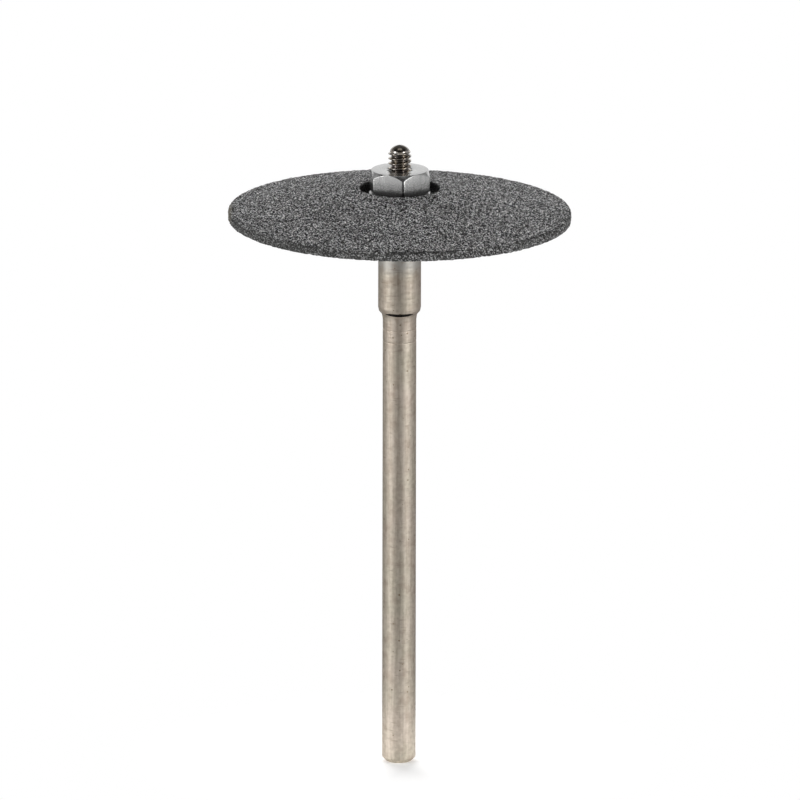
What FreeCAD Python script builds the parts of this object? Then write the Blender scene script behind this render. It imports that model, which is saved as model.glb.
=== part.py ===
import FreeCAD, Part
import math
import os

# Thin dished cutting disc, clamped on a slim mandrel by a stud, a washer and a hexagon nut.
# Sizes are in millimetres and angles in degrees.
# The origin is on the axis at the shank's free end, and +Z runs up the axis to the stud's tip.

# Mandrel
SHANK_DIAMETER = 2.35
SHANK_LENGTH = 32.52
SHANK_END_BEVEL = 0.3
HEAD_DIAMETER = 3.0
HEAD_LENGTH = 7.58
HEAD_TOP_BEVEL = 0.15
HEAD_FOOT_ROUNDING = 0.3

# Disc
DISC_DIAMETER = 24.0
DISC_THICKNESS = 0.65
DISH_ANGLE = 10.15
RIM_BEVEL = 0.08
RECESS_DIAMETER = 5.63
RECESS_DEPTH = 0.63
RECESS_MOUTH_BEVEL = 0.05
RECESS_FLOOR_BEVEL = 0.1
WEB_THICKNESS = 0.65
HUB_WALL = 0.65
HUB_DRAFT = 0.25
HUB_FOOT_BEVEL = 0.12

# Washer and nut
WASHER_DIAMETER = 4.36
WASHER_THICKNESS = 0.3
WASHER_BEVEL = 0.05
NUT_ACROSS_FLATS = 4.0
NUT_HEIGHT = 1.65
NUT_CHAMFER_ANGLE = 50.0
NUT_CHAMFER_INSET = 0.02
NUT_COUNTERSINK_DIAMETER = 1.9
NUT_TURN = 6.0

# Stud
THREAD_DIAMETER = 1.6
THREAD_DEPTH = 0.215
STUD_PROTRUSION = 1.76
STUD_TIP_HEIGHT = 0.5
STUD_TIP_DIAMETER = 0.55
STUD_TIP_ROUNDING = 0.22
STUD_ENGAGEMENT = 4.0
STUD_FOOT_BEVEL = 0.2
DRILL_RUNOUT = 0.6
DRILL_POINT_ANGLE = 118.0

# Clearances, on the radius
BORE_CLEARANCE = 0.05
NUT_THREAD_CLEARANCE = 0.01

# Heights of the seats, each stacked on the one below
SEAT_Z = SHANK_LENGTH + HEAD_LENGTH
WEB_TOP_Z = SEAT_Z + WEB_THICKNESS
WASHER_TOP_Z = WEB_TOP_Z + WASHER_THICKNESS
NUT_TOP_Z = WASHER_TOP_Z + NUT_HEIGHT
TIP_Z = NUT_TOP_Z + STUD_PROTRUSION
MOUTH_Z = WEB_TOP_Z + RECESS_DEPTH

THREAD_RADIUS = THREAD_DIAMETER / 2
CLEARANCE_RADIUS = THREAD_RADIUS + BORE_CLEARANCE


def tangent(angle):
    return math.tan(math.radians(angle))


def sharp(radius, height):
    """Corner of a turned outline, left sharp."""
    return FreeCAD.Vector(radius, 0, height), 0, False


def bevelled(radius, height, reach):
    """Corner cut off straight, by the same reach along both of its sides."""
    return FreeCAD.Vector(radius, 0, height), reach, False


def rounded(radius, height, rounding):
    """Corner rounded to a radius."""
    return FreeCAD.Vector(radius, 0, height), rounding, True


def turned(corners):
    """Solid of revolution about the Z axis, from the corners of half its section."""
    starts = []
    ends = []
    joins = []
    for index, (point, size, is_round) in enumerate(corners):
        before = (corners[index - 1][0] - point).normalize()
        after = (corners[(index + 1) % len(corners)][0] - point).normalize()
        half_angle = before.getAngle(after) / 2
        reach = size / math.tan(half_angle) if is_round else size
        start = point + before * reach
        end = point + after * reach
        if is_round:
            middle = point + (before + after).normalize() * (size / math.sin(half_angle) - size)
            joins.append([Part.Arc(start, middle, end).toShape()])
        else:
            joins.append([Part.makeLine(start, end)] if size > 0 else [])
        starts.append(start)
        ends.append(end)
    edges = []
    for index, join in enumerate(joins):
        edges += join
        edges.append(Part.makeLine(ends[index], starts[(index + 1) % len(starts)]))
    section = Part.Face(Part.Wire(edges))
    return section.revolve(FreeCAD.Vector(0, 0, 0), FreeCAD.Vector(0, 0, 1), 360)


def mandrel():
    """Shank and thicker head turned from one bar, with a blind hole for the stud."""
    shank_radius = SHANK_DIAMETER / 2
    head_radius = HEAD_DIAMETER / 2
    hole_floor = SEAT_Z - STUD_ENGAGEMENT
    drill_radius = THREAD_RADIUS - THREAD_DEPTH
    drill_floor = hole_floor - DRILL_RUNOUT
    drill_point = drill_floor - drill_radius / tangent(DRILL_POINT_ANGLE / 2)
    return turned([
        sharp(0, 0),
        sharp(0, drill_point),
        sharp(drill_radius, drill_floor),
        sharp(drill_radius, hole_floor),
        sharp(THREAD_RADIUS, hole_floor),
        sharp(THREAD_RADIUS, SEAT_Z),
        bevelled(head_radius, SEAT_Z, HEAD_TOP_BEVEL),
        rounded(head_radius, SHANK_LENGTH, HEAD_FOOT_ROUNDING),
        sharp(shank_radius, SHANK_LENGTH),
        bevelled(shank_radius, 0, SHANK_END_BEVEL),
    ])


def cutting_disc():
    """Shallow cone of even thickness, with a recess at the hub whose floor is the clamped web."""
    slope = tangent(DISH_ANGLE)
    rim_radius = DISC_DIAMETER / 2
    recess_radius = RECESS_DIAMETER / 2
    hub_radius = recess_radius + HUB_WALL
    hub_root_radius = hub_radius + HUB_DRAFT
    rim_top = MOUTH_Z - (rim_radius - recess_radius) * slope
    hub_root = MOUTH_Z - (hub_root_radius - recess_radius) * slope - DISC_THICKNESS
    return turned([
        sharp(CLEARANCE_RADIUS, SEAT_Z),
        sharp(CLEARANCE_RADIUS, WEB_TOP_Z),
        bevelled(recess_radius, WEB_TOP_Z, RECESS_FLOOR_BEVEL),
        bevelled(recess_radius, MOUTH_Z, RECESS_MOUTH_BEVEL),
        bevelled(rim_radius, rim_top, RIM_BEVEL),
        bevelled(rim_radius, rim_top - DISC_THICKNESS, RIM_BEVEL),
        sharp(hub_root_radius, hub_root),
        bevelled(hub_radius, SEAT_Z, HUB_FOOT_BEVEL),
    ])


def nut_washer():
    """Plain washer on the floor of the recess, bevelled on its upper side."""
    washer_radius = WASHER_DIAMETER / 2
    return turned([
        sharp(CLEARANCE_RADIUS, WEB_TOP_Z),
        sharp(CLEARANCE_RADIUS, WASHER_TOP_Z),
        bevelled(washer_radius, WASHER_TOP_Z, WASHER_BEVEL),
        sharp(washer_radius, WEB_TOP_Z),
    ])


def hex_nut():
    """Hexagon prism cut to an envelope with chamfered ends, and its countersunk bore."""
    flat_radius = NUT_ACROSS_FLATS / 2
    corner_radius = flat_radius / math.cos(math.radians(30))
    chamfer_radius = flat_radius - NUT_CHAMFER_INSET
    chamfer_drop = (corner_radius - chamfer_radius) * tangent(NUT_CHAMFER_ANGLE)
    bore_radius = THREAD_RADIUS + NUT_THREAD_CLEARANCE
    countersink_radius = NUT_COUNTERSINK_DIAMETER / 2
    countersink_depth = countersink_radius - bore_radius
    front = -90 + NUT_TURN
    corners = []
    for index in range(7):
        angle = math.radians(front + 60 * index)
        corners.append(FreeCAD.Vector(
            corner_radius * math.cos(angle), corner_radius * math.sin(angle), WASHER_TOP_Z))
    prism = Part.Face(Part.makePolygon(corners)).extrude(FreeCAD.Vector(0, 0, NUT_HEIGHT))
    envelope = turned([
        sharp(bore_radius, WASHER_TOP_Z + countersink_depth),
        sharp(bore_radius, NUT_TOP_Z - countersink_depth),
        sharp(countersink_radius, NUT_TOP_Z),
        sharp(chamfer_radius, NUT_TOP_Z),
        sharp(corner_radius, NUT_TOP_Z - chamfer_drop),
        sharp(corner_radius, WASHER_TOP_Z + chamfer_drop),
        sharp(chamfer_radius, WASHER_TOP_Z),
        sharp(countersink_radius, WASHER_TOP_Z),
    ])
    return prism.common(envelope)


def threaded_stud():
    """Stud with a rounded tip, at its thread's crest diameter."""
    foot_z = SEAT_Z - STUD_ENGAGEMENT
    return turned([
        sharp(0, foot_z),
        sharp(0, TIP_Z),
        rounded(STUD_TIP_DIAMETER / 2, TIP_Z, STUD_TIP_ROUNDING),
        rounded(THREAD_RADIUS, TIP_Z - STUD_TIP_HEIGHT, STUD_TIP_ROUNDING),
        bevelled(THREAD_RADIUS, foot_z, STUD_FOOT_BEVEL),
    ])


def export(name, shape):
    shape.exportStep("parts/" + name + ".step")


os.makedirs("parts", exist_ok=True)
export("mandrel", mandrel())
export("cutting_disc", cutting_disc())
export("nut_washer", nut_washer())
export("hex_nut", hex_nut())
export("threaded_stud", threaded_stud())
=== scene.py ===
import math

import bmesh
import bpy
import numpy as np
from mathutils import Matrix, Vector


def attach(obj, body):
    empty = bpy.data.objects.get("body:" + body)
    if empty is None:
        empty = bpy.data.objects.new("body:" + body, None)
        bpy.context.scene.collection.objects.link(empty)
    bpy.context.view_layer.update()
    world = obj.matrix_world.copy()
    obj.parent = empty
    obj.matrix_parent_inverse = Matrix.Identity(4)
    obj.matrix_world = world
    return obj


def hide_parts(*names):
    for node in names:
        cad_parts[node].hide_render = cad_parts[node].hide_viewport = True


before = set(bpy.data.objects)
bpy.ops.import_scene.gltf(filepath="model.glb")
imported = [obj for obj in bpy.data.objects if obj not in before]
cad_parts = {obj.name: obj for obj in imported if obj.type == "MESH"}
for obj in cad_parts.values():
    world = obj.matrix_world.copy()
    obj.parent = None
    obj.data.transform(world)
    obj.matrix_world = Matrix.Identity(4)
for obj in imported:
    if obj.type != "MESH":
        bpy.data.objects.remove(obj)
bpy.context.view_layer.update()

MM = 0.001

# Heights of the seats on the axis, in millimetres like all the named lengths
STUD_FOOT_Z = 36.1
SEAT_Z = 40.1
WEB_TOP_Z = 40.75
WASHER_TOP_Z = 41.05
NUT_TOP_Z = 42.7
TIP_Z = 44.46

# Mandrel
SHANK_RADIUS = 1.175
HEAD_RADIUS = 1.5
SHANK_END_BEVEL = 0.3
HEAD_FOOT_Z = 32.52
RING_HEIGHTS = (30.41, 31.28)
RING_DEPTH = 0.02
DRILL_RADIUS = 0.585

# Disc, whose dish is fitted to the photo's outline. The axial run-out of its rim is a tilt about Y.
MOUTH_Z = 41.41
BORE_RADIUS = 0.85
RECESS_RADIUS = 2.815
HUB_RADIUS = 3.465
HUB_ROOT_RADIUS = 3.715
DISC_RADIUS = 11.97
DISC_THICKNESS = 0.67
SLOPE = math.tan(math.radians(10.45))
RUN_OUT = math.tan(math.radians(0.5))
RIM_TOP_Z = MOUTH_Z - (DISC_RADIUS - RECESS_RADIUS) * SLOPE
RIM_BEVEL = 0.08
RECESS_FLOOR_BEVEL = 0.1
RECESS_MOUTH_BEVEL = 0.05
HUB_FOOT_BEVEL = 0.12
GRAIN = 0.018

# Nut, with the rounding of each upright corner, the front one last
NUT_FLAT = 2.0
NUT_CHAMFER_RADIUS = 1.98
NUT_CHAMFER_SLOPE = math.tan(math.radians(50))
NUT_BORE = 0.81
NUT_COUNTERSINK = 0.95
NUT_EDGE = 0.05
NUT_TURN = math.radians(-90 + 6)
NUT_CORNERS = (0.11, 0.11, 0.11, 0.11, 0.11, 0.26)

# Thread, with the root's and the crest's ends as shares of the pitch
PITCH = 0.35
THREAD_RADIUS = 0.8
THREAD_DEPTH = 0.215
ROOT_END = 0.125
CREST_END = 0.4375
DOME_RADIUS = 0.70
DOME_HEIGHT = 0.5
DOME_POWER = 1.8

# Stage
FLOOR_RADIUS = 90
FLOOR_GLOW = 0.22
CAMERA_ELEVATION = math.radians(14.4)
CAMERA_ROLL = math.radians(0.10)
CAMERA_LENS = 1500.0
CAMERA_SENSOR = 36.0
VIEW_WIDTH = 55.98
VIEW_CENTRE_Z = 26.07
VIEW_SHIFT = 0.6 / 800


# Meshes

def linked(name, data):
    """New object in the scene."""
    thing = bpy.data.objects.new(name, data)
    bpy.context.scene.collection.objects.link(thing)
    return thing


def mesh_of(name, points, faces, material):
    """Mesh of one material, from points in millimetres."""
    mesh = bpy.data.meshes.new(name)
    mesh.from_pydata([tuple(p) for p in np.asarray(points) * MM], [], faces)
    mesh.materials.append(material)
    return mesh


def new_piece(name, points, faces, material, node):
    """Smooth piece that rides on the body and stands for a CAD node."""
    mesh = mesh_of(name, points, faces, material)
    mesh.validate()
    mesh.update()
    mesh.polygons.foreach_set("use_smooth", [True] * len(mesh.polygons))
    piece = linked(name, mesh)
    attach(piece, "root")
    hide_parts(node)
    return piece


def softened(corners, segments=4):
    """Outline with each corner (r, z, rounding) rounded off, as a list of (r, z)."""
    outline = []
    last = len(corners) - 1
    for index, (r, z, rounding) in enumerate(corners):
        here = np.array((r, z))
        if rounding == 0 or index in (0, last):
            outline.append(here)
            continue
        before = np.array(corners[index - 1][:2]) - here
        after = np.array(corners[index + 1][:2]) - here
        long_before = np.linalg.norm(before)
        long_after = np.linalg.norm(after)
        before = before / long_before
        after = after / long_after
        half = math.acos(max(-1.0, min(1.0, float(before @ after)))) / 2
        reach = min(rounding / math.tan(half), 0.45 * long_before, 0.45 * long_after)
        for step in range(segments + 1):
            t = step / segments
            outline.append(here + before * reach * (1 - t) ** 2 + after * reach * t ** 2)
    return outline


def lathed(outline, columns):
    """Points and faces of an outline of (r, z) turned about Z; points on the axis are shared."""
    points = []
    rows = []
    for r, z in outline:
        if r < 1e-6:
            rows.append([len(points)] * columns)
            points.append((0.0, 0.0, z))
            continue
        row = []
        for column in range(columns):
            angle = 2 * math.pi * column / columns
            row.append(len(points))
            points.append((r * math.cos(angle), r * math.sin(angle), z))
        rows.append(row)
    faces = []
    for low, high in zip(rows, rows[1:]):
        for column in range(columns):
            after = (column + 1) % columns
            corners = [low[column], low[after], high[after], high[column]]
            unique = list(dict.fromkeys(corners))
            if len(unique) > 2:
                faces.append(unique)
    return points, faces


def spaced(corners):
    """Points along a closed outline of (r, z, spacing, roughness), each run by its own spacing."""
    samples = []
    for (r0, z0, gap, rough), (r1, z1, _, _) in zip(corners, corners[1:] + corners[:1]):
        length = math.hypot(r1 - r0, z1 - z0)
        steps = max(1, round(length / gap))
        normal = (-(z1 - z0) / length, (r1 - r0) / length)
        for step in range(steps):
            t = step / steps
            samples.append((r0 + (r1 - r0) * t, z0 + (z1 - z0) * t, gap, rough, normal))
    return samples


def zipped(lower, upper, low_angles, high_angles):
    """Triangles between two closed rings of points that differ in number."""
    low_ends = [*low_angles[1:], low_angles[0] + 2 * math.pi, math.inf]
    high_ends = [*high_angles[1:], high_angles[0] + 2 * math.pi, math.inf]
    faces = []
    i = j = 0
    n, m = len(lower), len(upper)
    while i < n or j < m:
        if low_ends[i] <= high_ends[j]:
            faces.append((lower[i % n], upper[j % m], lower[(i + 1) % n]))
            i += 1
        else:
            faces.append((lower[i % n], upper[j % m], upper[(j + 1) % m]))
            j += 1
    return faces


def gritty_disc(material):
    """Dished disc whose outer skin is an irregular net of grains, with a crumbly rim."""
    rng = np.random.default_rng(11)
    hub_root_z = MOUTH_Z - (HUB_ROOT_RADIUS - RECESS_RADIUS) * SLOPE - DISC_THICKNESS
    rim_foot_z = RIM_TOP_Z - DISC_THICKNESS
    corners = [
        (BORE_RADIUS, SEAT_Z, 0.65, 0.0),
        (BORE_RADIUS, WEB_TOP_Z, 0.30, 0.0),
        (RECESS_RADIUS - 0.5, WEB_TOP_Z, 0.13, 0.3),
        (RECESS_RADIUS - RECESS_FLOOR_BEVEL, WEB_TOP_Z, 0.1, 0.4),
        (RECESS_RADIUS, WEB_TOP_Z + RECESS_FLOOR_BEVEL, 0.09, 0.4),
        (RECESS_RADIUS, MOUTH_Z - RECESS_MOUTH_BEVEL, 0.07, 0.4),
        (RECESS_RADIUS + RECESS_MOUTH_BEVEL, MOUTH_Z - 0.01, 0.09, 0.7),
        (DISC_RADIUS - RIM_BEVEL, RIM_TOP_Z + 0.014, 0.08, 1.2),
        (DISC_RADIUS, RIM_TOP_Z - RIM_BEVEL, 0.085, 1.1),
        (DISC_RADIUS, rim_foot_z + RIM_BEVEL, 0.08, 1.2),
        (DISC_RADIUS - RIM_BEVEL, rim_foot_z + 0.014, 0.125, 1.0),
        (HUB_ROOT_RADIUS, hub_root_z, 0.12, 1.0),
        (HUB_RADIUS, SEAT_Z + HUB_FOOT_BEVEL, 0.12, 0.8),
        (HUB_RADIUS - HUB_FOOT_BEVEL, SEAT_Z, 0.2, 0.5),
        (HEAD_RADIUS + 0.1, SEAT_Z, 0.4, 0.0),
    ]
    points = []
    rings = []
    for r, z, gap, rough, normal in spaced(corners):
        count = max(24, round(2 * math.pi * r / min(gap, 0.3)))
        step = 2 * math.pi / count
        wobble = 0.3 * min(rough, 1.0)
        angle = step * (np.arange(count) + 0.5 + wobble * rng.uniform(-1, 1, count))
        along = gap * 0.6 * wobble * rng.uniform(-1, 1, count)
        lift = GRAIN * rough * rng.standard_normal(count).clip(-2.2, 2.2)
        radius = r + normal[0] * lift + normal[1] * along
        x = radius * np.cos(angle)
        outside = np.clip(radius - HUB_RADIUS, 0, None) / np.maximum(radius, HUB_RADIUS)
        height = z + normal[1] * lift - normal[0] * along - x * outside * RUN_OUT
        start = len(points)
        points.extend(zip(x, radius * np.sin(angle), height))
        rings.append((range(start, start + count), angle))
    faces = []
    for (low, low_angles), (high, high_angles) in zip(rings, rings[1:] + rings[:1]):
        faces += zipped(low, high, low_angles, high_angles)
    return new_piece("disc_grit", points, faces, material, "cutting_disc")


def mandrel_body(material):
    """Shank and head, with a flared foot under the head and two faint lathe rings."""
    corners = [
        (0, 0, 0),
        (SHANK_RADIUS - SHANK_END_BEVEL, 0, 0.05),
        (SHANK_RADIUS, SHANK_END_BEVEL, 0.1),
    ]
    for ring_z in RING_HEIGHTS:
        corners += [
            (SHANK_RADIUS, ring_z - 0.06, 0.02),
            (SHANK_RADIUS - RING_DEPTH, ring_z - 0.02, 0.02),
            (SHANK_RADIUS - RING_DEPTH, ring_z + 0.02, 0.02),
            (SHANK_RADIUS, ring_z + 0.06, 0.02),
        ]
    corners += [
        (SHANK_RADIUS, HEAD_FOOT_Z - 0.57, 0.3),
        (SHANK_RADIUS + 0.05, HEAD_FOOT_Z - 0.24, 0.1),
        (SHANK_RADIUS + 0.10, HEAD_FOOT_Z - 0.14, 0.04),
        (HEAD_RADIUS - 0.05, HEAD_FOOT_Z + 0.06, 0.15),
        (HEAD_RADIUS, HEAD_FOOT_Z + 0.33, 0.15),
        (HEAD_RADIUS, SEAT_Z, 0.15),
        (THREAD_RADIUS, SEAT_Z, 0),
        (THREAD_RADIUS, STUD_FOOT_Z, 0),
        (DRILL_RADIUS, STUD_FOOT_Z, 0),
        (DRILL_RADIUS, STUD_FOOT_Z - 0.6, 0),
        (0, STUD_FOOT_Z - 0.95, 0),
    ]
    points, faces = lathed(softened(corners, 6), 160)
    return new_piece("mandrel_body", points, faces, material, "mandrel")


def flat_end(corner):
    """Angle from the middle of a flat to where the rounding of its corner starts."""
    return math.atan2((NUT_FLAT - corner) * math.tan(math.pi / 6), NUT_FLAT)


def hex_radius(turn, corner):
    """Radius of the nut at an angle from the middle of a flat, up to the middle of the next flat."""
    if turn <= 0:
        return NUT_FLAT / math.cos(turn)
    turn = abs((turn + math.pi / 6) % (math.pi / 3) - math.pi / 6)
    if turn <= flat_end(corner):
        return NUT_FLAT / math.cos(turn)
    centre = (NUT_FLAT - corner) / math.cos(math.pi / 6)
    off = math.pi / 6 - turn
    return centre * math.cos(off) + math.sqrt(corner ** 2 - (centre * math.sin(off)) ** 2)


def nut_piece(material):
    """Hexagon nut with chamfered ends and softly broken edges, its front corner worn rounder."""
    columns = []
    for side, corner in enumerate(NUT_CORNERS):
        start = flat_end(NUT_CORNERS[side - 1])
        end = flat_end(corner)
        flat_turns = np.linspace(-start, end, 17)
        corner_turns = np.linspace(end, math.pi / 3 - end, 9)[1:-1]
        for turn in [*flat_turns, *corner_turns]:
            reach = hex_radius(turn, corner)
            drop = (reach - NUT_CHAMFER_RADIUS) * NUT_CHAMFER_SLOPE
            outline = softened([
                (NUT_BORE, WASHER_TOP_Z + 0.14, 0),
                (NUT_COUNTERSINK, WASHER_TOP_Z, 0.02),
                (NUT_CHAMFER_RADIUS, WASHER_TOP_Z, NUT_EDGE),
                (reach, WASHER_TOP_Z + drop, NUT_EDGE),
                (reach, NUT_TOP_Z - drop, NUT_EDGE),
                (NUT_CHAMFER_RADIUS, NUT_TOP_Z, NUT_EDGE),
                (NUT_COUNTERSINK, NUT_TOP_Z, 0.02),
                (NUT_BORE, NUT_TOP_Z - 0.14, 0),
            ])
            angle = side * math.pi / 3 + turn
            columns.append((NUT_TURN + math.pi / 6 + angle, outline))
    points = []
    for angle, outline in columns:
        points += [(r * math.cos(angle), r * math.sin(angle), z) for r, z in outline]
    rows = len(columns[0][1])
    faces = []
    for column in range(len(columns)):
        here = column * rows
        after = (column + 1) % len(columns) * rows
        for row in range(rows):
            up = (row + 1) % rows
            faces.append((here + row, after + row, after + up, here + up))
    piece = new_piece("nut_body", points, faces, material, "hex_nut")
    weighted = piece.modifiers.new("flat_faces", "WEIGHTED_NORMAL")
    weighted.weight = 90
    return piece


def share(value, whole):
    """Value as a share of the whole, held between none and all of it."""
    return min(1.0, max(0.0, value / whole))


def eased(t):
    """Share that starts and ends softly."""
    return t * t * (3 - 2 * t)


def thread_radius(u, z):
    """Radius of the stud at a share of the pitch, from one root to the next, and at a height."""
    below = TIP_Z - z
    cut = share(CREST_END - min(u, 1 - u), CREST_END - ROOT_END)
    cut = 0.35 * eased(cut) + 0.65 * cut
    fade = share(below - 0.40, 0.2)
    dome = DOME_RADIUS * (1 - (1 - share(below, DOME_HEIGHT)) ** DOME_POWER) ** (1 / DOME_POWER)
    swell = eased(share(below - 0.38, 0.18))
    return dome + (THREAD_RADIUS - DOME_RADIUS) * swell - THREAD_DEPTH * cut * fade


def thread_piece(material):
    """Stud with a right-hand M1.6 x 0.35 thread cut as one helical strip, and a domed tip."""
    columns = 72
    across = [0.0, 0.07, 0.125, 0.2, 0.28, 0.36, 0.43, 0.47, 0.53, 0.57, 0.64, 0.72, 0.8, 0.875, 0.93]
    turns = math.ceil((TIP_Z - STUD_FOOT_Z) / PITCH) + 2
    start_z = WASHER_TOP_Z - PITCH * math.ceil((WASHER_TOP_Z - STUD_FOOT_Z) / PITCH + 1)
    points = []
    for turn in range(turns):
        for u in across:
            for column in range(columns):
                angle = 2 * math.pi * column / columns
                z = start_z + PITCH * (turn + u + column / columns)
                z = min(max(z, STUD_FOOT_Z), TIP_Z)
                r = thread_radius(u, z)
                points.append((r * math.cos(angle), r * math.sin(angle), z))
    # The strip's last column joins the first one of the next turn.
    faces = []
    per_turn = len(across)
    rows = turns * per_turn
    for row in range(rows - 1):
        for column in range(columns):
            low = row * columns + column
            low_after = low + 1
            if column == columns - 1:
                if row + 1 + per_turn >= rows:
                    continue
                low_after = (row + per_turn) * columns
            faces.append((low, low_after, low_after + columns, low + columns))
    piece = new_piece("stud_thread", points, faces, material, "threaded_stud")
    shape = bmesh.new()
    shape.from_mesh(piece.data)
    bmesh.ops.remove_doubles(shape, verts=shape.verts, dist=1e-7)
    bmesh.ops.dissolve_degenerate(shape, edges=shape.edges, dist=1e-8)
    bmesh.ops.holes_fill(shape, edges=[e for e in shape.edges if e.is_boundary])
    bmesh.ops.recalc_face_normals(shape, faces=shape.faces)
    shape.to_mesh(piece.data)
    shape.free()
    return piece


# Nodes

def tree_of(name):
    """New material with its node tree and its shader."""
    material = bpy.data.materials.new(name)
    material.use_nodes = True
    return material, material.node_tree, material.node_tree.nodes["Principled BSDF"]


def add(tree, kind, values=None, **settings):
    """New node; each value is a number, or a socket to link from."""
    node = tree.nodes.new(kind)
    for key, value in settings.items():
        setattr(node, key, value)
    for key, value in (values or {}).items():
        if isinstance(value, bpy.types.NodeSocket):
            tree.links.new(value, node.inputs[key])
        else:
            node.inputs[key].default_value = value
    return node


def rgba(colour):
    """Opaque colour, from one level or from three."""
    return (*colour, 1) if isinstance(colour, tuple) else (colour, colour, colour, 1)


def ramp(tree, factor, stops):
    """Colour that runs through the stops, each a place and a colour."""
    node = add(tree, "ShaderNodeValToRGB", {"Fac": factor})
    elements = node.color_ramp.elements
    while len(elements) < len(stops):
        elements.new(0.5)
    for element, (place, colour) in zip(elements, stops):
        element.position = place
        element.color = rgba(colour)
    return node.outputs["Color"]


def mixed(tree, factor, first, second, blend="MIX"):
    """Mix of two colours, each a socket, one level or three."""
    first, second = [c if isinstance(c, bpy.types.NodeSocket) else rgba(c) for c in (first, second)]
    return add(tree, "ShaderNodeMix", {0: factor, 6: first, 7: second},
               data_type="RGBA", blend_type=blend).outputs[2]


def maths(tree, operation, *values, clamp=False):
    """Result of an operation on numbers and sockets."""
    return add(tree, "ShaderNodeMath", dict(enumerate(values)),
               operation=operation, use_clamp=clamp).outputs[0]


def vectors(tree, operation, *values):
    """Result of an operation on vectors."""
    return add(tree, "ShaderNodeVectorMath", dict(enumerate(values)), operation=operation).outputs[0]


def length_of(tree, vector):
    """Length of a vector."""
    return add(tree, "ShaderNodeVectorMath", {0: vector}, operation="LENGTH").outputs["Value"]


def between(tree, value, low, high, unit=1.0):
    """Share of the way that a value has gone from low to high, both given in the unit."""
    return add(tree, "ShaderNodeMapRange", {
        "Value": value, "From Min": low * unit, "From Max": high * unit}).outputs[0]


def place_on(tree):
    """Place on the object, in metres from its origin."""
    return add(tree, "ShaderNodeTexCoord").outputs["Object"]


def part_of(tree, vector, axis):
    """One coordinate of a vector."""
    return add(tree, "ShaderNodeSeparateXYZ", {"Vector": vector}).outputs[axis]


def channel_of(tree, colour, channel):
    """One channel of a colour."""
    return add(tree, "ShaderNodeSeparateColor", {"Color": colour}).outputs[channel]


def distance_from_axis(tree, place):
    """Distance from the Z axis."""
    return length_of(tree, vectors(tree, "MULTIPLY", place, (1.0, 1.0, 0.0)))


def noise(tree, place, scale, detail, roughness=0.5):
    """Noise between none and one; three scales stretch it along the axes."""
    if isinstance(scale, tuple):
        place = add(tree, "ShaderNodeMapping", {"Vector": place, "Scale": scale}).outputs[0]
        scale = 1.0
    return add(tree, "ShaderNodeTexNoise", {
        "Vector": place, "Scale": scale, "Detail": detail, "Roughness": roughness}).outputs["Fac"]


def smudge(tree, place, centre, half, strength):
    """Soft-edged mark with its centre and half size in millimetres."""
    off = vectors(tree, "SUBTRACT", place, tuple(c * MM for c in centre))
    off = vectors(tree, "DIVIDE", off, tuple(h * MM for h in half))
    mark = between(tree, length_of(tree, off), 1.0, 0.4)
    return maths(tree, "MULTIPLY", mark, strength)


def spots(tree, place, scale, channel, reaches):
    """One near the centres of random cells, as far as the reach that a cell's own colour picks."""
    cells = add(tree, "ShaderNodeTexVoronoi", {"Vector": place, "Scale": scale})
    picked = channel_of(tree, cells.outputs["Color"], channel)
    return maths(tree, "LESS_THAN", cells.outputs["Distance"], ramp(tree, picked, reaches))


def line_at(tree, level, height, width):
    """One within a width of a height, given in millimetres; the width is a socket in metres."""
    off = maths(tree, "ABSOLUTE", maths(tree, "SUBTRACT", level, height * MM))
    return maths(tree, "LESS_THAN", off, width)


# Materials

def rim_edge_painted_shadow(tree, place, radius, level):
    """Ragged painted shadow line just below the upper edge of the disc's rim, which comes and goes along
    it.
    """
    ragged = ramp(tree, noise(tree, place, 1300.0, 5.0, 0.75), [(0.42, 0.0), (0.60, 1.0)])
    runs = between(tree, noise(tree, place, 260.0, 1.0), 0.40, 0.58)
    width = maths(tree, "MULTIPLY", maths(tree, "MULTIPLY", ragged, runs), 0.16 * MM)
    line = line_at(tree, level, RIM_TOP_Z - 0.05, width)
    rim = between(tree, radius, DISC_RADIUS - 0.17, DISC_RADIUS - 0.11, MM)
    return maths(tree, "MULTIPLY", maths(tree, "MULTIPLY", line, rim), 0.7)


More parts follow.
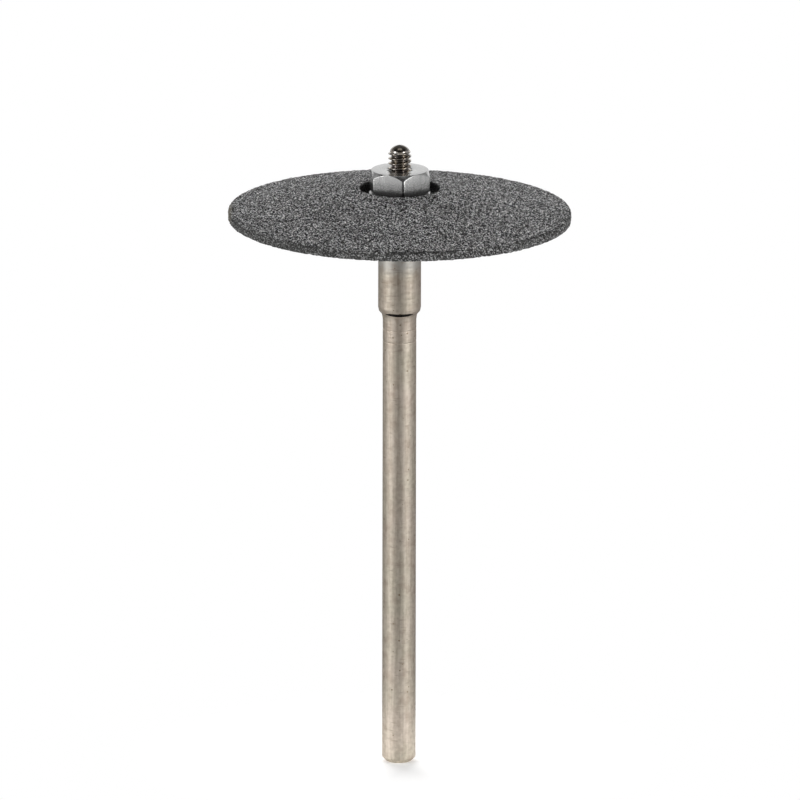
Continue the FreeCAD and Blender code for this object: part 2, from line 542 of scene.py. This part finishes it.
def abrasive():
    """Resin-bonded grit: cells of about a tenth of a millimetre, each with its own shade and tilt."""
    material, tree, shader = tree_of("abrasive_grit")
    place = place_on(tree)
    level = part_of(tree, place, "Z")
    radius = distance_from_axis(tree, place)
    cells = add(tree, "ShaderNodeTexVoronoi", {"Vector": place, "Scale": 16500.0}).outputs["Color"]
    colour = ramp(tree, channel_of(tree, cells, "Red"), [
        (0.0, 0.001), (0.50, 0.005), (0.70, 0.03), (0.82, 0.5), (0.89, 1.0)])
    flakes = spots(tree, place, 8500.0, "Blue", [(0.80, 0.0), (0.84, 0.22), (1.0, 0.40)])
    colour = mixed(tree, flakes, colour, 0.60)
    clouds = ramp(tree, noise(tree, place, 900.0, 4.0, 0.7), [(0.3, 0.74), (0.7, 1.0)])
    colour = mixed(tree, 1.0, colour, clouds, "MULTIPLY")
    worn = between(tree, radius, DISC_RADIUS - 0.09, DISC_RADIUS - 0.05, MM)
    colour = mixed(tree, maths(tree, "MULTIPLY", worn, 0.38), colour, (0.125, 0.125, 0.12))
    # Painted shadow: a ragged dark line just below the rim's upper edge.
    colour = mixed(tree, rim_edge_painted_shadow(tree, place, radius, level), colour, 0.012)
    for centre, half, strength, stain in (
            ((-8.75, 3.6, 40.17), (0.95, 0.34, 0.4), 0.4, 0.42),
            ((-11.95, 0.0, 39.5), (0.35, 3.6, 1.0), 0.5, (0.13, 0.11, 0.07))):
        colour = mixed(tree, smudge(tree, place, centre, half, strength), colour, stain)
    # Painted shade in the recess: near black at its floor, lighter towards its mouth.
    depth = between(tree, level, WASHER_TOP_Z + 0.05, MOUTH_Z - 0.03, MM)
    recess_painted_shade = ramp(tree, depth, [(0.0, 0.015), (0.5, 0.03), (1.0, 0.10)])
    outside = between(tree, radius, RECESS_RADIUS + 0.005, RECESS_RADIUS + 0.045, MM)
    tree.links.new(mixed(tree, outside, recess_painted_shade, colour), shader.inputs["Base Color"])
    tilt = vectors(tree, "SUBTRACT", cells, (0.5, 0.5, 0.5))
    tilt = add(tree, "ShaderNodeVectorMath", {0: tilt, "Scale": 1.5}, operation="SCALE").outputs[0]
    tilted = vectors(tree, "ADD", add(tree, "ShaderNodeNewGeometry").outputs["Normal"], tilt)
    tree.links.new(vectors(tree, "NORMALIZE", tilted), shader.inputs["Normal"])
    gloss = ramp(tree, channel_of(tree, cells, "Green"), [(0.0, 0.75), (0.8, 0.6), (1.0, 0.3)])
    tree.links.new(gloss, shader.inputs["Roughness"])
    shader.inputs["Specular IOR Level"].default_value = 0.35
    return material


def satin_nickel():
    """Turned and matt plated: fine rings, a soft mottle, small dark pits, and a painted shadow line under
    the head's foot on the front.
    """
    material, tree, shader = tree_of("satin_nickel_finish")
    shader.inputs["Metallic"].default_value = 1.0
    place = place_on(tree)
    level = part_of(tree, place, "Z")
    patches = noise(tree, place, 420.0, 1.0)
    dull = ramp(tree, patches, [(0.35, (0.50, 0.425, 0.35)), (0.65, (0.48, 0.43, 0.345))])
    pale = ramp(tree, patches, [(0.35, (0.68, 0.60, 0.515)), (0.65, (0.66, 0.60, 0.50))])
    mottle = noise(tree, place, 3500.0, 4.0)
    streaks = noise(tree, place, (6500.0, 6500.0, 420.0), 2.0)
    wear = add(tree, "ShaderNodeMix", {0: 0.5, 2: mottle, 3: streaks}).outputs[0]
    colour = mixed(tree, between(tree, wear, 0.36, 0.60), dull, pale)
    cool = maths(tree, "MULTIPLY", between(tree, level, 35.2, 36.1, MM), 0.7)
    colour = mixed(tree, cool, colour, (0.585, 0.58, 0.56))
    for centre, half, strength in (
            ((-0.12, -1.5, 35.05), (0.10, 0.6, 0.85), 0.5),
            ((-0.30, -1.5, 35.82), (0.55, 0.6, 0.04), 0.6),
            ((-0.10, -1.5, 35.64), (0.40, 0.6, 0.03), 0.5),
            ((-0.25, -1.5, 33.95), (0.30, 0.6, 0.05), 0.4),
            ((0.05, -1.2, 29.97), (0.30, 0.6, 0.06), 0.45)):
        colour = mixed(tree, smudge(tree, place, centre, half, strength), colour, (0.30, 0.22, 0.17))
    brown = between(tree, noise(tree, place, 1500.0, 3.0), 0.52, 0.72)
    colour = mixed(tree, maths(tree, "MULTIPLY", brown, 0.5), colour, (0.42, 0.33, 0.26))
    scored = between(tree, noise(tree, place, (1300.0, 1300.0, 7000.0), 1.0), 0.34, 0.25)
    colour = mixed(tree, maths(tree, "MULTIPLY", scored, 0.45), colour, (0.33, 0.25, 0.19))
    pits = spots(tree, place, 1900.0, "Red", [(0.0, 0.13), (0.5, 0.06), (0.55, 0.0)])
    colour = mixed(tree, pits, colour, (0.30, 0.24, 0.17))
    # Painted shade: a near-black line on the underside of the head's foot, on the front only.
    front = between(tree, part_of(tree, place, "Y"), -0.93, -1.28, MM)
    line = line_at(tree, level, HEAD_FOOT_Z - 0.04, maths(tree, "MULTIPLY", front, 0.13 * MM))
    tree.links.new(mixed(tree, line, colour, (0.004, 0.003, 0.003)), shader.inputs["Base Color"])
    rings = noise(tree, place, (300.0, 300.0, 16000.0), 3.0)
    tree.links.new(ramp(tree, rings, [(0.3, 0.45), (0.7, 0.57)]), shader.inputs["Roughness"])
    bump = add(tree, "ShaderNodeBump", {"Height": rings, "Strength": 0.15, "Distance": 0.00002})
    near_head = between(tree, level, 28.8, 31.2, MM)
    chatter = noise(tree, place, (500.0, 500.0, 4200.0), 1.0)
    rippled = add(tree, "ShaderNodeBump", {
        "Height": chatter, "Strength": near_head, "Distance": 0.00003, "Normal": bump.outputs[0]})
    tree.links.new(rippled.outputs[0], shader.inputs["Normal"])
    return material


def bright_nickel():
    """Bright plating with fine lengthwise brush marks and a painted dark reflection along the nut's front
    corner.
    """
    material, tree, shader = tree_of("bright_nickel_finish")
    shader.inputs["Metallic"].default_value = 0.95
    place = place_on(tree)
    brushed = noise(tree, place, (12000.0, 12000.0, 900.0), 3.0)
    colour = ramp(tree, brushed, [(0.3, (0.50, 0.50, 0.495)), (0.7, (0.62, 0.62, 0.615))])
    # Painted reflection: a dark streak down the nut's front corner, where the dark room in front is
    # mirrored.
    mark = smudge(tree, place, (0.237, -2.258, 41.7), (0.10, 0.3, 0.85), 0.85)
    tree.links.new(mixed(tree, mark, colour, 0.05), shader.inputs["Base Color"])
    tree.links.new(ramp(tree, brushed, [(0.3, 0.18), (0.7, 0.23)]), shader.inputs["Roughness"])
    return material


def dark_steel():
    """Blackened steel with faint straw tints, lighter on the thread's upper flanks and the dome's top:
    partly wear on the crests, partly painted highlight where the softboxes are reflected.
    """
    material, tree, shader = tree_of("dark_steel_finish")
    shader.inputs["Metallic"].default_value = 1.0
    place = place_on(tree)
    tint = noise(tree, place, 2500.0, 2.0)
    dark = ramp(tree, tint, [(0.3, (0.12, 0.11, 0.11)), (0.7, (0.17, 0.145, 0.115))])
    worn = ramp(tree, tint, [(0.3, (0.66, 0.63, 0.60)), (0.7, (0.62, 0.54, 0.43))])
    # Lighter flanks and dome top: wear and painted highlight together, the very crest less light.
    flank_wear_and_highlight = between(tree, distance_from_axis(tree, place), THREAD_RADIUS - 0.2, THREAD_RADIUS, MM)
    flank_wear_and_highlight = ramp(tree, flank_wear_and_highlight, [(0.15, 0.0), (0.55, 1.0), (0.8, 1.0), (1.0, 0.25)])
    tip = between(tree, part_of(tree, place, "Z"), TIP_Z - 0.35, TIP_Z - 0.15, MM)
    edge = maths(tree, "MAXIMUM", flank_wear_and_highlight, maths(tree, "MULTIPLY", tip, 0.45))
    tree.links.new(mixed(tree, edge, dark, worn), shader.inputs["Base Color"])
    tree.links.new(ramp(tree, tint, [(0.3, 0.10), (0.7, 0.18)]), shader.inputs["Roughness"])
    return material


# Stage

def background_rays(tree):
    """The camera's rays, and the glossy and transmission rays, each one or none."""
    path = add(tree, "ShaderNodeLightPath").outputs
    mirrored = maths(tree, "ADD", path["Is Glossy Ray"], path["Is Transmission Ray"], clamp=True)
    return path["Is Camera Ray"], mirrored


def white_floor():
    """Round pale floor under the shank's end, fading out at its edge into the white surroundings."""
    material, tree, shader = tree_of("floor_white")
    shader.inputs["Base Color"].default_value = rgba(0.95)
    shader.inputs["Roughness"].default_value = 0.9
    shader.inputs["Specular IOR Level"].default_value = 0.1
    shader.inputs["Emission Color"].default_value = rgba(1.0)
    seen = maths(tree, "ADD", *background_rays(tree), clamp=True)
    tree.links.new(maths(tree, "MULTIPLY", seen, FLOOR_GLOW), shader.inputs["Emission Strength"])
    fade = add(tree, "ShaderNodeMapRange", {
        "Value": length_of(tree, place_on(tree)), "From Min": 4 * MM, "From Max": 20 * MM,
        "To Min": 1.0, "To Max": 0.0}, interpolation_type="SMOOTHERSTEP").outputs[0]
    above = maths(tree, "SUBTRACT", 1.0, add(tree, "ShaderNodeNewGeometry").outputs["Backfacing"])
    tree.links.new(maths(tree, "MULTIPLY", fade, above), shader.inputs["Alpha"])
    points, faces = lathed([(FLOOR_RADIUS, 0), (FLOOR_RADIUS / 2, 0), (20, 0), (0, 0)], 96)
    linked("floor", mesh_of("floor", points, faces, material))


def area(name, place, size, power):
    """Rectangular lamp, placed and sized in metres and aimed at the axis above the shank's middle."""
    aim = Vector((0, 0, 0.03))
    data = bpy.data.lights.new(name, "AREA")
    data.shape = "RECTANGLE"
    data.size, data.size_y = size
    data.energy = power
    lamp = linked(name, data)
    lamp.location = place
    lamp.rotation_mode = "QUATERNION"
    lamp.rotation_quaternion = (aim - Vector(place)).to_track_quat("-Z", "Y")
    return lamp


def surroundings():
    """World that is white to the camera, with a backdrop behind the object and a darker room in front."""
    world = bpy.data.worlds.new("studio")
    world.use_nodes = True
    bpy.context.scene.world = world
    tree = world.node_tree
    tree.nodes.clear()
    towards = add(tree, "ShaderNodeTexCoord").outputs["Generated"]
    x, y, z = [part_of(tree, towards, axis) for axis in "XYZ"]
    rise = between(tree, z, -1, 1)
    wall = ramp(tree, rise, [(0.0, 0.20), (0.44, 0.20), (0.52, 1.0), (0.65, 1.0), (0.70, 0.16)])
    behind = ramp(tree, between(tree, y, -1, 1), [(0.6, 0.0), (0.85, 1.0)])
    level_with = vectors(tree, "NORMALIZE", add(tree, "ShaderNodeCombineXYZ", {0: x, 1: y}).outputs[0])
    around = between(tree, part_of(tree, level_with, "Y"), -1, 1)
    room = ramp(tree, around, [
        (0.0, 0.16), (0.045, 0.20), (0.10, 0.70), (0.294, 0.68), (0.5, 0.38), (1.0, 0.30)])
    strips = ramp(tree, rise, [
        (0.0, 0.50), (0.64, 0.50), (0.68, 0.85), (0.79, 0.85), (0.84, 0.06), (0.97, 0.06), (0.985, 0.7)])
    # Twice the ramp, whose colours can't pass one.
    room = maths(tree, "MULTIPLY", room, maths(tree, "MULTIPLY", strips, 2.0))
    level = mixed(tree, behind, room, wall)
    light = add(tree, "ShaderNodeBackground", {"Color": level, "Strength": 1.0})
    white = add(tree, "ShaderNodeBackground", {"Color": rgba(1.0), "Strength": 1.0})
    camera_rays, mirrored = background_rays(tree)
    backdrop = maths(tree, "GREATER_THAN", maths(tree, "MULTIPLY", behind, wall), 0.9)
    seen = maths(tree, "MULTIPLY_ADD", mirrored, backdrop, camera_rays, clamp=True)
    shown = add(tree, "ShaderNodeMixShader", {"Fac": seen, 1: light.outputs[0], 2: white.outputs[0]})
    add(tree, "ShaderNodeOutputWorld", {"Surface": shown.outputs[0]})


def lamps():
    """Two softboxes in front, to the left and right, and a wide lamp behind and above."""
    away, height, size = 0.3, 0.12, (0.10, 0.30)
    for name, turn, power in (("softbox_left", -66, 0.405), ("softbox_right", 54, 0.38)):
        angle = math.radians(turn)
        area(name, (away * math.sin(angle), -away * math.cos(angle), height), size, power)
    overhead = area("overhead", (-0.08, 0.5, 0.35), (0.5, 0.5), 4.1)
    overhead.visible_glossy = False


def camera():
    """Camera at the photo's elevation, far off, with the photo's slight roll and sideways shift."""
    back = Vector((0, -math.cos(CAMERA_ELEVATION), math.sin(CAMERA_ELEVATION)))
    distance = VIEW_WIDTH * CAMERA_LENS / CAMERA_SENSOR * MM
    data = bpy.data.cameras.new("camera")
    data.lens, data.sensor_width = CAMERA_LENS, CAMERA_SENSOR
    data.clip_start, data.clip_end = 0.01, 10
    data.shift_x = VIEW_SHIFT
    eye = linked("camera", data)
    eye.location = Vector((0, 0, VIEW_CENTRE_Z * MM)) + back * distance
    eye.rotation_mode = "QUATERNION"
    roll = Matrix.Rotation(CAMERA_ROLL, 3, back).to_quaternion()
    eye.rotation_quaternion = roll @ (-back).to_track_quat("-Z", "Y")
    bpy.context.scene.camera = eye


bpy.context.scene.view_settings.view_transform = "Standard"
camera()
surroundings()
lamps()
white_floor()
bright = bright_nickel()
mandrel_body(satin_nickel())
gritty_disc(abrasive())
nut_piece(bright)
thread_piece(dark_steel())
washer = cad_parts["nut_washer"]
washer.data.materials.clear()
washer.data.materials.append(bright)
